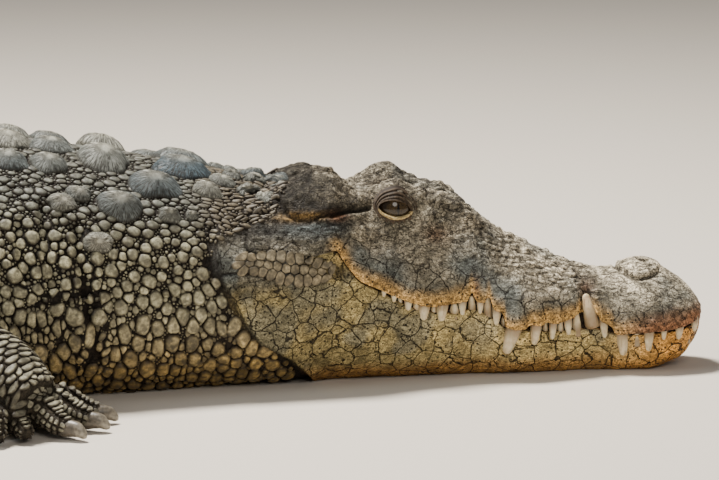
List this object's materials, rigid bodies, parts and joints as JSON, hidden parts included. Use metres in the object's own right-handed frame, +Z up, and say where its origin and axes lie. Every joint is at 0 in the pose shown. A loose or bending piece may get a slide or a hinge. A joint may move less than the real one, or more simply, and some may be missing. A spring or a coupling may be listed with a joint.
{
  "type": "nile crocodile model",
  "caption": "Life-size Nile crocodile lying on its belly with jaws closed, head forward, legs folded out at the sides and the tail in a gentle curve.",
  "frame": {"origin": "on the ground under the middle of the bounding box", "axes": "+X towards the snout, +Y to the animal's left, +Z up"},
  "size_m": [3.188, 1.1724, 0.2919],
  "materials": {
    "hide": "dry, matt, grey-olive horny scales",
    "jaw_hide": "dry, matt, yellow-olive skin with ivory teeth",
    "claw": "worn grey horn",
    "eye": "wet, glossy"
  },
  "bodies": {
    "root": {"head": "hide", "lower_jaw": "jaw_hide", "eye_right": "eye", "eye_left": "eye", "neck": "hide", "trunk": "hide", "tail_base": "hide", "tail_middle": "hide", "tail_tip": "hide", "foreleg_right": "hide", "foreleg_left": "hide", "hindleg_right": "hide", "hindleg_left": "hide", "forefoot_right": "hide", "forefoot_left": "hide", "hindfoot_right": "hide", "hindfoot_left": "hide", "forefoot_right_claw_1": "claw", "forefoot_right_claw_2": "claw", "forefoot_right_claw_3": "claw", "forefoot_left_claw_1": "claw", "forefoot_left_claw_2": "claw", "forefoot_left_claw_3": "claw", "hindfoot_right_claw_1": "claw", "hindfoot_right_claw_2": "claw", "hindfoot_right_claw_3": "claw", "hindfoot_left_claw_1": "claw", "hindfoot_left_claw_2": "claw", "hindfoot_left_claw_3": "claw"}
  },
  "joints": []
}
